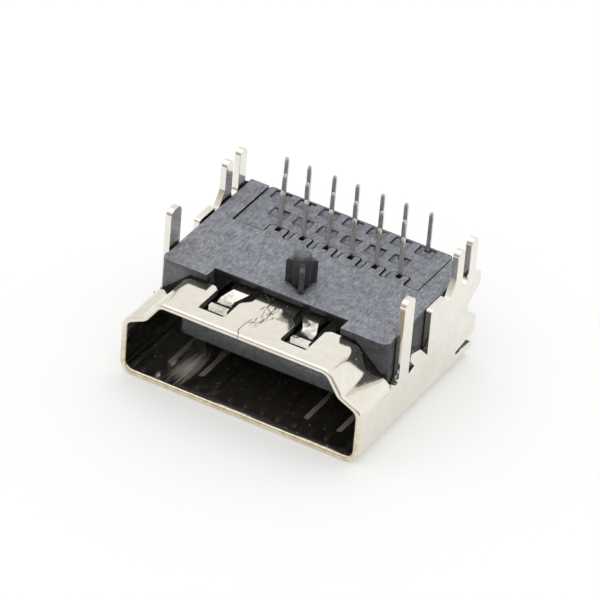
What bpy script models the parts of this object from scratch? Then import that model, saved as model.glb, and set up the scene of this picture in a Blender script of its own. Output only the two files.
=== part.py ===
"""Right-angle board socket with nineteen contacts, modelled lying on its wide face.

Metres, +Z up. X runs across the socket, the mouth faces -Y, and the solder tails,
legs and locating post stand up along +Z. The origin is the middle of the footprint,
on the plane that the wide face rests on.
"""
import math

import bmesh
import bpy
from mathutils import Matrix, Vector

MM = 0.001

# Folded sheet: the mouth's section, seen from the front
SHEET = 0.35 * MM               # thickness of the sheet
MOUTH_WIDTH = 14.0 * MM         # inside, from side wall to side wall
MOUTH_HEIGHT = 4.55 * MM        # inside, from wide face to narrow face
WALL_BEND_HEIGHT = 2.85 * MM    # a side wall's height inside, up to its shoulder
VALLEY_X = 5.85 * MM            # where the shoulder meets the slope
VALLEY_HEIGHT = 3.38 * MM
NARROW_HALF = 5.05 * MM         # half the narrow face, inside
WIDE_CORNER_R = 0.45 * MM
WALL_BEND_R = 0.45 * MM
VALLEY_R = 0.8 * MM
NARROW_CORNER_R = 0.45 * MM
RIM_ROUND = 0.16 * MM           # rounding of both edges of the mouth's rim

# Depths behind the mouth, from the front to the rear
RING_LENGTH = 3.2 * MM          # the closed ring of the mouth
RING_OVERLAP = 0.3 * MM         # how far the open channel runs into the ring
CAVITY_DEPTH = 7.6 * MM         # back wall that the plug meets
BACK_WALL = 0.9 * MM
CHAMBER_DEPTH = CAVITY_DEPTH + BACK_WALL
ROW_SETBACK = 0.76 * MM         # from the chamber's front to the front row of tails
FRONT_ROW_DEPTH = CHAMBER_DEPTH + ROW_SETBACK
ROW_PITCH = 1.5 * MM            # between the tail rows
REAR_MARGIN = 0.29 * MM         # from the back row to the rear edge of the tail spacer
SPACER_END = FRONT_ROW_DEPTH + 2 * ROW_PITCH + REAR_MARGIN
SPACER_REACH = 0.1 * MM         # the tail spacer stands out behind the housing
HOUSING_END = SPACER_END - SPACER_REACH
SHELL_REACH = 0.09 * MM         # the side walls stand out behind the tail spacer
SHELL_LENGTH = SPACER_END + SHELL_REACH

# Side wall: heights above the resting plane, places from its front or its rear end
WALL_FRONT_HEIGHT = 3.0 * MM
RIDGE_DEPTH = 3.3 * MM
RIDGE_HEIGHT = 3.35 * MM
NOTCH_HEIGHT = 2.97 * MM        # bottoms of the notches beside the front leg
NOTCH_REACH = 0.4 * MM          # width and height of the notch ahead of the leg
NOTCH_LENGTH = 0.64 * MM        # the notch behind the leg ends in a point
NOTCH_RISE = 0.2 * MM
LEG_TIP_HEIGHT = 8.1 * MM
LEG_TIP_R = 0.4 * MM
FRONT_LEG_DEPTH = 4.05 * MM
FRONT_LEG_WIDTH = 1.05 * MM
BUMP_GAP = 0.1 * MM             # from the leg to the bump that hangs over the notch
BUMP_LENGTH = 1.95 * MM         # up to the tall rear part of the wall
BUMP_LOW_HEIGHT = 3.74 * MM
BUMP_HEIGHT = 4.2 * MM
BUMP_FLAT = 1.05 * MM
BUMP_FALL = 0.27 * MM           # the bump's top edge falls by this much
RAISED_FOOT_HEIGHT = 3.03 * MM
RAISED_HEIGHT = 5.85 * MM
DIP_SETBACK = 1.0 * MM          # small dip in the top edge, ahead of the fork
DIP_WIDTH = 0.45 * MM
DIP_HEIGHT = 5.55 * MM
FORK_FOOT_HEIGHT = 6.4 * MM
FORK_MARGIN = 0.73 * MM         # from the fork to the wall's rear end
PRONG_WIDTH = 0.72 * MM
FORK_SLOT = 0.72 * MM
FORK_SLOT_HEIGHT = 5.5 * MM
TAIL_TOP_HEIGHT = 5.9 * MM      # rear flag of the wall
TAIL_LOW_HEIGHT = 4.6 * MM
TAIL_FALL = 0.5 * MM            # the flag's top edge falls by this much
TAIL_LENGTH = 1.19 * MM
TAIL_ROOT_HEIGHT = 3.95 * MM
TAB_TOP_HEIGHT = 3.33 * MM      # lower rear tab
TAB_FALL = 0.7 * MM
TAB_LOW_HEIGHT = 1.6 * MM
TAB_SETBACK = 0.1 * MM          # the tab ends short of the flag
SLIT_TOP_HEIGHT = 1.27 * MM     # slit between the tab and the wide face's strip
SLIT_LOW_HEIGHT = 1.08 * MM
SLIT_FLARE = 0.21 * MM          # the slit's lower edge falls by this much
SLIT_LENGTH = 0.95 * MM         # ahead of the flag's root
WIDE_FACE_SETBACK = 0.24 * MM   # the wide face ends short of the flag
SHARP_R = 0.05 * MM             # rounding of the sheet's cut corners
SMALL_R = 0.1 * MM
CORNER_R = 0.2 * MM
ROOT_R = 0.3 * MM

# Narrow face: strip under the housing, windows and seam
STRIP_HALF = 3.2 * MM
STRIP_MARGIN = 0.6 * MM         # from the strip's end to the cavity's back wall
WINDOW_DEPTH = 0.97 * MM
WINDOW_INNER = 1.7 * MM         # half the bridge between the windows
WINDOW_OUTER = 3.3 * MM
WINDOW_LENGTH = 3.95 * MM
WINDOW_NECK_DEPTH = 2.6 * MM    # here the bridge starts to narrow
WINDOW_NECK = 0.5 * MM
WINDOW_WAIST = 1.22 * MM        # half the bridge behind the neck
WINDOW_R = 0.2 * MM
WINDOW_FLARE = 0.25 * MM         # chamfer beside the window at the ring's rear
SEAM_WIDTH = 0.035 * MM          # hairline of the dovetailed seam
SEAM_X = -0.3 * MM
SEAM_LEFT = -0.52 * MM
SEAM_RIGHT = 0.15 * MM
SEAM_START = 0.1 * MM
SEAM_NECK_DEPTH = 1.35 * MM
SEAM_STEP = 0.35 * MM           # length of each slanting stretch
SEAM_HEAD_DEPTH = 2.75 * MM

# Spring fingers
FINGER_X = 2.15 * MM            # narrow face's fingers, at their roots
FINGER_HALF = 0.48 * MM
FINGER_ROOT = 5.2 * MM
FINGER_BEND = 3.5 * MM          # here the finger swings outwards
FINGER_NECK = 2.75 * MM
FINGER_NECK_HALF = 0.42 * MM
FINGER_SWING = 0.36 * MM
FINGER_HEAD = 2.15 * MM
FINGER_HEAD_HALF = 0.56 * MM
FINGER_TIP = 1.7 * MM
FINGER_DROP = 0.33 * MM
FINGER_RISE = 0.18 * MM         # the head turns back up by this much
PAD_X = 4.25 * MM               # wide face's fingers
PAD_HALF = 0.85 * MM
PAD_GAP = 0.3 * MM
PAD_FRONT = 1.7 * MM
PAD_FLAT = 1.9 * MM             # level stretch at the pad's root
PAD_END = 5.4 * MM
PAD_HEAD = 0.8 * MM             # length of the pad's downturned end
PAD_RISE = 0.3 * MM

# Contacts
CONTACTS = 19
PITCH = 0.5 * MM
ROW_HALF = (CONTACTS - 1) / 2 * PITCH
TAIL_SPACING = 3 * PITCH        # between the tails of one row
TAIL_SHIFT = PITCH / 2          # sideways jog that staggers the tails
BLADE_WIDTH = 0.25 * MM
BLADE_THICKNESS = 0.18 * MM
BLADE_PROUD = 0.05 * MM         # how far a blade stands out of the tongue
BLADE_SETBACK = 0.35 * MM       # from the tongue's front to the blades
BLADE_FIT = 0.035 * MM
BEND_R = 0.3 * MM
JOG_START = 3.6 * MM
JOG_END = 4.1 * MM
TAIL_HEIGHT = 8.15 * MM
TAIL_POINT = 0.35 * MM
TAIL_POINT_HALF = 0.06 * MM

# Moulded housing
FIT = 0.05 * MM                 # clearance between housing and sheet
HOUSING_TOP = 5.75 * MM
HOUSING_EDGE_R = 0.1 * MM
REAR_CORNER_X = 1.3 * MM        # slanting rear corner on the right, seen from above
REAR_CORNER_LENGTH = 1.7 * MM
REAR_CORNER_R = 1.5 * MM
PLATE_THICKNESS = 0.35 * MM     # thin front of the top plate, over the strip
BODY_DEPTH = 3.45 * MM          # face behind the ring
LOBE_DEPTH = 3.15 * MM
LOBE_LENGTH = 0.6 * MM          # the lobes run into the body
LOBE_INNER = 4.1 * MM
LOBE_INNER_HEIGHT = 5.38 * MM   # the lobe's underside, from its inner to its outer end
LOBE_SLANT_X = 5.08 * MM
LOBE_OUTER_X = 6.74 * MM
LOBE_OUTER_HEIGHT = 3.87 * MM
LOBE_CORNER_R = 0.45 * MM
RECESS_DEPTH = 4.0 * MM
STRIP_ROOM = 0.15 * MM          # beside the narrow face's strip
STRIP_END_ROOM = 0.3 * MM       # behind the strip
TONGUE_HALF = ROW_HALF + 0.7 * MM
TONGUE_DEPTH = 2.4 * MM
TONGUE_LOW = 2.05 * MM
TONGUE_TOP = 3.05 * MM
TONGUE_R = 0.45 * MM
TONGUE_LEAD = 0.3 * MM          # sloping lead-in along the tongue's top edge
TONGUE_EDGE = 0.07 * MM         # bevel along its lower edge
CHAMBER_FLOOR = 0.95 * MM       # open chamber behind the back wall
LEDGE = 0.45 * MM               # side ledges that carry the tail spacer
POST_X = 0.39 * MM
POST_DEPTH = 5.33 * MM
POST_R = 0.51 * MM
POST_HEIGHT = 2.13 * MM
POST_DOME = 0.36 * MM
RIB_WIDTH = 0.3 * MM
RIB_REACH = 0.9 * MM
RIB_HEIGHT = 1.45 * MM
RIB_SLANT = 0.12 * MM
RIB_TURNS = (60, 180, 300)      # degrees about the post

# Tail spacer
SPACER_HALF = ROW_HALF + 1.2 * MM
SPACER_THICKNESS = 0.95 * MM
SPACER_SINK = 0.05 * MM         # below the housing's top
SPACER_R = 0.25 * MM            # rear corners, seen from above
NOTCH_HALF = 0.225 * MM         # half the gap between two teeth
TOOTH_HALF = TAIL_SPACING / 2 - NOTCH_HALF
TOOTH_LENGTH = 0.85 * MM
TOOTH_R = 0.13 * MM
TOOTH_HOLE = 0.6 * MM
COMB_BACK = 0.3 * MM            # how far the comb reaches into the housing
POCKET_SPACE = 0.25 * MM        # half the rib between two pockets
POCKET_HALF = TAIL_SPACING / 2 - POCKET_SPACE
POCKET_LENGTH = 0.8 * MM
POCKET_DEPTH = 0.07 * MM
POCKET_BEHIND = 0.15 * MM       # from a tail's middle to its pocket's rear edge
SPACER_FIT = 0.08 * MM

# Cutters run past the faces that they cut by this much
PAST = 1.0 * MM

MOUTH_Y = -SHELL_LENGTH / 2
OUTER_HALF = MOUTH_WIDTH / 2 + SHEET
HOUSING_HALF = MOUTH_WIDTH / 2 - FIT
NARROW_INSIDE = SHEET + MOUTH_HEIGHT
NARROW_OUTSIDE = NARROW_INSIDE + SHEET
SPACER_TOP = HOUSING_TOP - SPACER_SINK
SPACER_LOW = SPACER_TOP - SPACER_THICKNESS
BLADE_DEPTH = TONGUE_DEPTH + BLADE_SETBACK
ARC_STEPS = 5
RIM_STEPS = 4
POST_STEPS = 32
DOME_STEPS = 4
NEARLY_HALF = 0.49              # most of an edge that one fillet may use up
WELD = 1e-7


def at(depth):
    """Y of a place that lies this far behind the mouth."""
    return MOUTH_Y + depth


def clear_scene():
    for thing in list(bpy.data.objects):
        bpy.data.objects.remove(thing, do_unlink=True)


def new_collection(name):
    made = bpy.data.collections.new(name)
    bpy.context.scene.collection.children.link(made)
    return made


def fillet(corners, closed=True):
    """Outline with round corners: each corner is (a, b, radius)."""
    points = []
    count = len(corners)
    for index, (a, b, radius) in enumerate(corners):
        here = Vector((a, b))
        inside = closed or 0 < index < count - 1
        if radius <= 0 or not inside:
            points.append(here)
            continue
        before = Vector(corners[index - 1][:2]) - here
        after = Vector(corners[(index + 1) % count][:2]) - here
        half = before.angle(after) / 2
        reach = min(radius / math.tan(half), NEARLY_HALF * before.length, NEARLY_HALF * after.length)
        before.normalize()
        after.normalize()
        radius = reach * math.tan(half)
        centre = here + (before + after).normalized() * (radius / math.sin(half))
        start = here + before * reach - centre
        turn = start.angle_signed(here + after * reach - centre)
        for step in range(ARC_STEPS + 1):
            swing = Matrix.Rotation(-turn * step / ARC_STEPS, 2)
            points.append(centre + swing @ start)
    return points


def grown(points, distance):
    """The closed outline, moved outwards by a distance at every edge."""
    area = sum(p.cross(q) for p, q in zip(points, points[1:] + points[:1]))
    side = 1 if area > 0 else -1
    moved = []
    for index, here in enumerate(points):
        before = (here - points[index - 1]).normalized()
        after = (points[(index + 1) % len(points)] - here).normalized()
        normal_before = Vector((before.y, -before.x)) * side
        normal_after = Vector((after.y, -after.x)) * side
        middle = (normal_before + normal_after).normalized()
        moved.append(here + middle * (distance / middle.dot(normal_after)))
    return moved


def mesh_object(name, mesh, collection):
    made = bpy.data.objects.new(name, mesh)
    collection.objects.link(made)
    if collection is CUTTERS:
        made.hide_render = True
        made.display_type = "WIRE"
    return made


def baked(guide, name, collection):
    """A curve object as a welded mesh object in the same place."""
    bpy.context.view_layer.update()
    graph = bpy.context.evaluated_depsgraph_get()
    mesh = bpy.data.meshes.new_from_object(guide.evaluated_get(graph))
    mesh.transform(guide.matrix_world)
    bpy.data.objects.remove(guide, do_unlink=True)
    form = bmesh.new()
    form.from_mesh(mesh)
    bmesh.ops.remove_doubles(form, verts=form.verts, dist=WELD)
    bmesh.ops.recalc_face_normals(form, faces=form.faces)
    form.to_mesh(mesh)
    form.free()
    return mesh_object(name, mesh, collection)


PLANES = {
    "XY": Matrix(((1, 0, 0), (0, 1, 0), (0, 0, 1))),
    "XZ": Matrix(((1, 0, 0), (0, 0, -1), (0, 1, 0))),
    "YZ": Matrix(((0, 0, 1), (1, 0, 0), (0, 1, 0))),
}


def prism(name, outline, plane, low, high, collection=None):
    """A flat outline in a plane, drawn out between two places along its normal."""
    curve = bpy.data.curves.new(name, "CURVE")
    curve.dimensions = "2D"
    curve.fill_mode = "BOTH"
    curve.extrude = (high - low) / 2
    spline = curve.splines.new("POLY")
    spline.points.add(len(outline) - 1)
    for point, (a, b) in zip(spline.points, outline):
        point.co = (a, b, 0, 1)
    spline.use_cyclic_u = True
    guide = bpy.data.objects.new(name, curve)
    bpy.context.scene.collection.objects.link(guide)
    turn = PLANES[plane].to_4x4()
    middle = (low + high) / 2
    normal = Vector(PLANES[plane].col[2])
    along = Vector([abs(part) for part in normal]) * middle
    guide.matrix_world = Matrix.Translation(along) @ turn
    return baked(guide, name, collection or CUTTERS)


def box(name, x, y, z, collection=None):
    """A block between pairs of X, Y and Z."""
    corners = [(x[0], y[0]), (x[1], y[0]), (x[1], y[1]), (x[0], y[1])]
    return prism(name, corners, "XY", z[0], z[1], collection)


def ribbon(name, rows, thickness, offset, collection=None, ring=False, rim=0):
    """An open surface through rows of points, given a wall by Solidify.

    A rim rounds both edges of the wall along the first row.
    """
    form = bmesh.new()
    weight = form.edges.layers.float.new("bevel_weight_edge")
    lines = [[form.verts.new(point) for point in row] for row in rows]
    width = len(lines[0])
    spans = width if ring else width - 1
    for first, second in zip(lines, lines[1:]):
        for i in range(spans):
            j = (i + 1) % width
            form.faces.new((first[i], first[j], second[j], second[i]))
    front = set(lines[0])
    for edge in form.edges:
        edge[weight] = float(set(edge.verts) <= front)
    mesh = bpy.data.meshes.new(name)
    form.to_mesh(mesh)
    form.free()
    made = mesh_object(name, mesh, collection or CUTTERS)
    wall = made.modifiers.new("wall", "SOLIDIFY")
    wall.thickness = thickness
    wall.offset = offset
    wall.use_even_offset = True
    if rim:
        edge = made.modifiers.new("rim", "BEVEL")
        edge.width = rim
        edge.segments = RIM_STEPS
        edge.limit_method = "WEIGHT"
    return made


def combine(target, tool, operation):
    step = target.modifiers.new(tool.name, "BOOLEAN")
    step.operation = operation
    step.solver = "EXACT"
    step.object = tool
    return target


def merged(name, pieces):
    """Separate cutters that don't touch, gathered into one cutter."""
    form = bmesh.new()
    for piece in pieces:
        form.from_mesh(piece.data)
        bpy.data.objects.remove(piece, do_unlink=True)
    mesh = bpy.data.meshes.new(name)
    form.to_mesh(mesh)
    form.free()
    return mesh_object(name, mesh, CUTTERS)


def mirrored(points):
    return [(-a, b) for a, b in reversed(points)]


def finish(thing, name, colour, metallic, roughness):
    material = bpy.data.materials.get(name) or bpy.data.materials.new(name)
    material.use_nodes = True
    shader = material.node_tree.nodes["Principled BSDF"]
    shader.inputs["Base Color"].default_value = (*colour, 1)
    shader.inputs["Metallic"].default_value = metallic
    shader.inputs["Roughness"].default_value = roughness
    thing.data.materials.append(material)


def mouth_outline(growth=0):
    """The mouth's inside as (x, z) points, or a line that lies outside it by a growth."""
    right = [
        (MOUTH_WIDTH / 2, SHEET, WIDE_CORNER_R + growth),
        (MOUTH_WIDTH / 2, SHEET + WALL_BEND_HEIGHT, WALL_BEND_R + growth),
        (VALLEY_X, SHEET + VALLEY_HEIGHT, max(VALLEY_R - growth, SHARP_R)),
        (NARROW_HALF, NARROW_INSIDE, NARROW_CORNER_R + growth),
    ]
    corners = right + [(-x, z, radius) for x, z, radius in reversed(right)]
    sharp = grown([Vector(corner[:2]) for corner in corners], growth)
    return fillet([(*point, corner[2]) for point, corner in zip(sharp, corners)])


def channel_outline():
    """The open channel behind the ring: side wall, wide face, side wall."""
    half = MOUTH_WIDTH / 2
    top = TAIL_HEIGHT + PAST
    corners = [(-half, top, 0), (-half, SHEET, WIDE_CORNER_R), (half, SHEET, WIDE_CORNER_R), (half, top, 0)]
    return fillet(corners, closed=False)


def wall_outline():
    """A side wall with its legs, seen from the side, as (y, z) points."""
    leg_rear = FRONT_LEG_DEPTH + FRONT_LEG_WIDTH
    bump = leg_rear + BUMP_GAP
    raised = bump + BUMP_LENGTH
    fork_rear = SHELL_LENGTH - FORK_MARGIN
    second_prong = fork_rear - PRONG_WIDTH
    prong_rear = second_prong - FORK_SLOT
    fork = prong_rear - PRONG_WIDTH
    dip = fork - DIP_SETBACK
    root = SHELL_LENGTH - TAIL_LENGTH
    tab = SHELL_LENGTH - TAB_SETBACK
    face = SHELL_LENGTH - WIDE_FACE_SETBACK
    corners = [
        (RING_LENGTH - RING_OVERLAP, -PAST, 0),
        (RING_LENGTH - RING_OVERLAP, WALL_FRONT_HEIGHT, 0),
        (RING_LENGTH - FIT, WALL_FRONT_HEIGHT, 0),
        (RIDGE_DEPTH, RIDGE_HEIGHT, SHARP_R),
        (FRONT_LEG_DEPTH - NOTCH_REACH / 2, NOTCH_HEIGHT, SMALL_R),
        (FRONT_LEG_DEPTH, NOTCH_HEIGHT + NOTCH_REACH, 0),
        (FRONT_LEG_DEPTH, LEG_TIP_HEIGHT, LEG_TIP_R),
        (leg_rear, LEG_TIP_HEIGHT, LEG_TIP_R),
        (leg_rear, NOTCH_HEIGHT, SMALL_R),
        (leg_rear + NOTCH_LENGTH, NOTCH_HEIGHT + NOTCH_RISE, SHARP_R),
        (bump, BUMP_LOW_HEIGHT, SHARP_R),
        (bump, BUMP_HEIGHT, CORNER_R),
        (bump + BUMP_FLAT, BUMP_HEIGHT - BUMP_FALL, ROOT_R),
        (raised, RAISED_FOOT_HEIGHT, SHARP_R),
        (raised, RAISED_HEIGHT, CORNER_R),
        (dip, RAISED_HEIGHT, SHARP_R),
        (dip, DIP_HEIGHT, SHARP_R),
        (dip + DIP_WIDTH, DIP_HEIGHT, SHARP_R),
        (fork, FORK_FOOT_HEIGHT, ROOT_R),
        (fork, LEG_TIP_HEIGHT, LEG_TIP_R),
        (prong_rear, LEG_TIP_HEIGHT, LEG_TIP_R),
        (prong_rear, FORK_SLOT_HEIGHT, FORK_SLOT / 2),
        (second_prong, FORK_SLOT_HEIGHT, FORK_SLOT / 2),
        (second_prong, LEG_TIP_HEIGHT, LEG_TIP_R),
        (fork_rear, LEG_TIP_HEIGHT, LEG_TIP_R),
        (fork_rear, TAIL_TOP_HEIGHT, SMALL_R),
        (SHELL_LENGTH, TAIL_TOP_HEIGHT - TAIL_FALL, CORNER_R),
        (SHELL_LENGTH, TAIL_LOW_HEIGHT, SMALL_R),
        (root, TAIL_ROOT_HEIGHT, ROOT_R),
        (root, TAB_TOP_HEIGHT, SHARP_R),
        (tab, TAB_TOP_HEIGHT - TAB_FALL, SMALL_R),
        (tab, TAB_LOW_HEIGHT, SMALL_R),
        (root - SLIT_LENGTH, SLIT_TOP_HEIGHT, SHARP_R),
        (root - SLIT_LENGTH, SLIT_LOW_HEIGHT, SHARP_R),
        (face, SLIT_LOW_HEIGHT - SLIT_FLARE, 0),
        (face, -PAST, 0),
    ]
    return [(at(depth), height) for depth, height in fillet(corners)]


def window_outline():
    """The right-hand opening of the narrow face, as (x, y) points."""
    root = WINDOW_DEPTH + WINDOW_LENGTH
    corners = [
        (WINDOW_INNER, WINDOW_DEPTH, WINDOW_R),
        (WINDOW_OUTER, WINDOW_DEPTH, WINDOW_R / 2),
        (WINDOW_OUTER, RING_LENGTH - WINDOW_FLARE, 0),
        (WINDOW_OUTER + 2 * WINDOW_FLARE, RING_LENGTH + WINDOW_FLARE, 0),
        (WINDOW_OUTER + 2 * WINDOW_FLARE, root, 0),
        (WINDOW_WAIST, root, 0),
        (WINDOW_WAIST, WINDOW_NECK_DEPTH + WINDOW_NECK, 2 * WINDOW_R),
        (WINDOW_INNER, WINDOW_NECK_DEPTH, 2 * WINDOW_R),
    ]
    return [(x, at(depth)) for x, depth in fillet(corners)]


def seam_outline():
    """Hairline of the dovetail: a centre line with a narrow slot about it."""
    line = [
        (SEAM_X, -PAST),
        (SEAM_X, SEAM_START),
        (SEAM_LEFT, SEAM_START + SEAM_STEP),
        (SEAM_LEFT, SEAM_NECK_DEPTH),
        (SEAM_RIGHT, SEAM_NECK_DEPTH + SEAM_STEP),
        (SEAM_RIGHT, SEAM_HEAD_DEPTH),
        (SEAM_X, SEAM_HEAD_DEPTH + SEAM_STEP),
        (SEAM_X, CAVITY_DEPTH + PAST),
    ]
    points = [Vector(point) for point in line]
    sides = []
    for index, here in enumerate(points):
        before = (here - points[max(index - 1, 0)]).normalized()
        after = (points[min(index + 1, len(points) - 1)] - here).normalized()
        normals = [Vector((-way.y, way.x)) for way in (before, after) if way.length > 0]
        middle = sum(normals, Vector((0, 0))).normalized()
        sides.append(middle * (SEAM_WIDTH / 2 / middle.dot(normals[0])))
    rim = [p + s for p, s in zip(points, sides)]
    rim += [p - s for p, s in reversed(list(zip(points, sides)))]
    return [(x, at(depth)) for x, depth in rim]


def behind_ring():
    """Cutter that leaves only the narrow face's strip behind the ring."""
    side = OUTER_HALF + PAST
    under = NARROW_INSIDE - PAST
    over = NARROW_OUTSIDE + PAST
    section = [(-side, -PAST), (side, -PAST), (side, over), (STRIP_HALF, over),
               (STRIP_HALF, under), (-STRIP_HALF, under), (-STRIP_HALF, over), (-side, over)]
    return prism("behind_ring", section, "XZ", at(RING_LENGTH), at(CAVITY_DEPTH + PAST))


def bent_finger(name, path):
    """A spring finger: path holds (X, depth, height, half width) along its middle."""
    rows = [[(x - half, at(d), z), (x + half, at(d), z)] for x, d, z, half in path]
    return ribbon(name, rows, SHEET, 0)


def build_shell():
    channel = channel_outline()
    rows = [[(x, at(d), z) for x, z in channel] for d in (RING_LENGTH - RING_OVERLAP, SHELL_LENGTH + PAST)]
    shell = ribbon("shell", rows, SHEET, -1, PARTS)
    combine(shell, prism("side_view", wall_outline(), "YZ", -OUTER_HALF - PAST, OUTER_HALF + PAST), "INTERSECT")

    mouth = mouth_outline()
    rows = [[(x, at(d), z) for x, z in mouth] for d in (0, CAVITY_DEPTH - STRIP_MARGIN)]
    ring = ribbon("mouth_ring", rows, SHEET, -1, ring=True, rim=RIM_ROUND)
    combine(ring, behind_ring(), "DIFFERENCE")
    combine(shell, ring, "UNION")

    low = NARROW_INSIDE - PAST / 2
    high = NARROW_OUTSIDE + PAST
    right = window_outline()
    windows = [prism("window", side, "XY", low, high) for side in (right, mirrored(right))]
    combine(shell, merged("windows", windows), "DIFFERENCE")
    combine(shell, prism("seam", seam_outline(), "XY", low, high), "DIFFERENCE")
    add_fingers(shell)
    add_pads(shell)
    return shell


def add_fingers(shell):
    """Narrow face's fingers: each swings outwards, dips and turns up at its head."""
    level = NARROW_INSIDE + SHEET / 2
    dip = level - FINGER_DROP
    head = dip + FINGER_RISE
    for side in (-1, 1):
        root = side * FINGER_X
        swung = side * (FINGER_X + FINGER_SWING)
        path = [
            (root, FINGER_ROOT, level, FINGER_HALF),
            (root, FINGER_BEND, level, FINGER_HALF),
            (swung, FINGER_NECK, (level + dip) / 2, FINGER_NECK_HALF),
            (swung, FINGER_HEAD, dip, FINGER_NECK_HALF),
            (swung, (FINGER_HEAD + FINGER_TIP) / 2, head, FINGER_HEAD_HALF),
            (swung, FINGER_TIP, head, FINGER_HEAD_HALF),
        ]
        combine(shell, bent_finger("finger", path), "UNION")


def add_pads(shell):
    """Wide face's fingers: long pads between slots, rising from level roots."""
    outer = PAD_HALF + PAD_GAP
    front, rear = at(PAD_FRONT), at(PAD_END + PAD_GAP)
    gaps = []
    for side in (-1, 1):
        middle = side * PAD_X
        corners = [(middle - outer, front, PAD_GAP / 2), (middle + outer, front, PAD_GAP / 2),
                   (middle + outer, rear, 0), (middle - outer, rear, 0)]
        gaps.append(prism("gap", fillet(corners), "XY", -PAST, SHEET + PAST / 4))
    combine(shell, merged("pad_gaps", gaps), "DIFFERENCE")

    level = SHEET / 2
    top = level + PAD_RISE
    for side in (-1, 1):
        middle = side * PAD_X
        path = [
            (middle, PAD_FRONT - PAD_GAP, level, PAD_HALF),
            (middle, PAD_FRONT + PAD_FLAT, level, PAD_HALF),
            (middle, PAD_END - PAD_HEAD, top, PAD_HALF),
            (middle, PAD_END, (level + top) / 2, PAD_HALF),
        ]
        combine(shell, bent_finger("pad", path), "UNION")


def contact_row(number):
    """0 for the front row of tails, 1 for the middle row, 2 for the back row."""
    return (2, 1, 0)[(number - 1) % 3]


def contact_places(number):
    """Blade X, tail X, tail depth and height of the blade's middle."""
    blade = (number - (CONTACTS + 1) / 2) * PITCH
    row = contact_row(number)
    tail = blade + (1 - row) * TAIL_SHIFT
    depth = FRONT_ROW_DEPTH + row * ROW_PITCH
    sunk = BLADE_THICKNESS / 2 - BLADE_PROUD
    height = TONGUE_TOP - sunk if number % 2 else TONGUE_LOW + sunk
    return blade, tail, depth, height


def build_contact(number):
    """A stamped strip: along the tongue, round the bend, up, aside and up again."""
    blade, tail, depth, height = contact_places(number)
    half = BLADE_WIDTH / 2
    path = [(blade, BLADE_DEPTH, height, half)]
    for step in range(ARC_STEPS + 1):
        swing = math.pi / 2 * step / ARC_STEPS
        path.append((blade, depth - BEND_R + BEND_R * math.sin(swing),
                     height + BEND_R - BEND_R * math.cos(swing), half))
    path += [
        (blade, depth, JOG_START, half),
        (tail, depth, JOG_END, half),
        (tail, depth, TAIL_HEIGHT - TAIL_POINT, half),
        (tail, depth, TAIL_HEIGHT, TAIL_POINT_HALF),
    ]
    rows = [[(x - w, at(d), z), (x + w, at(d), z)] for x, d, z, w in path]
    return ribbon("contact_%02d" % number, rows, BLADE_THICKNESS, 0, PARTS)


def blade_slots():
    """Cutters that seat every blade in the tongue and let it through the back wall."""
    half = BLADE_WIDTH / 2 + BLADE_FIT
    reach = BLADE_THICKNESS / 2 + BLADE_FIT
    slots = []
    for number in range(1, CONTACTS + 1):
        blade, _, _, height = contact_places(number)
        slots.append(box("blade_slot", (blade - half, blade + half),
                         (at(BLADE_DEPTH - BLADE_FIT), at(CHAMBER_DEPTH + PAST)),
                         (height - reach, height + reach)))
    return merged("blade_slots", slots)


def tail_holes(name, rows, front, rear, low, high):
    """Square holes round the tails of some rows, longer in front than behind."""
    half = BLADE_WIDTH / 2 + BLADE_FIT
    holes = []
    for number in range(1, CONTACTS + 1):
        if contact_row(number) in rows:
            _, tail, depth, _ = contact_places(number)
            holes.append(box(name, (tail - half, tail + half), (at(depth - front), at(depth + rear)), (low, high)))
    return merged(name + "_group", holes)


def front_tails():
    return [contact_places(n)[1] for n in range(1, CONTACTS + 1) if contact_row(n) == 0]


def comb_outline(growth=0):
    """Plan of the comb with a tooth at each front-row tail, or a line that far outside it."""
    front = CHAMBER_DEPTH - COMB_BACK
    end = CHAMBER_DEPTH + TOOTH_LENGTH
    corners = [(SPACER_HALF, CHAMBER_DEPTH, 0), (SPACER_HALF, front, 0), (-SPACER_HALF, front, 0),
               (-SPACER_HALF, CHAMBER_DEPTH, 0)]
    for tail in front_tails():
        left, right = tail - TOOTH_HALF, tail + TOOTH_HALF
        corners += [(left, CHAMBER_DEPTH, TOOTH_R + SPACER_FIT), (left, end, TOOTH_R),
                    (right, end, TOOTH_R), (right, CHAMBER_DEPTH, TOOTH_R + SPACER_FIT)]
    return [(x, at(depth)) for x, depth in grown(fillet(corners), growth)]


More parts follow.
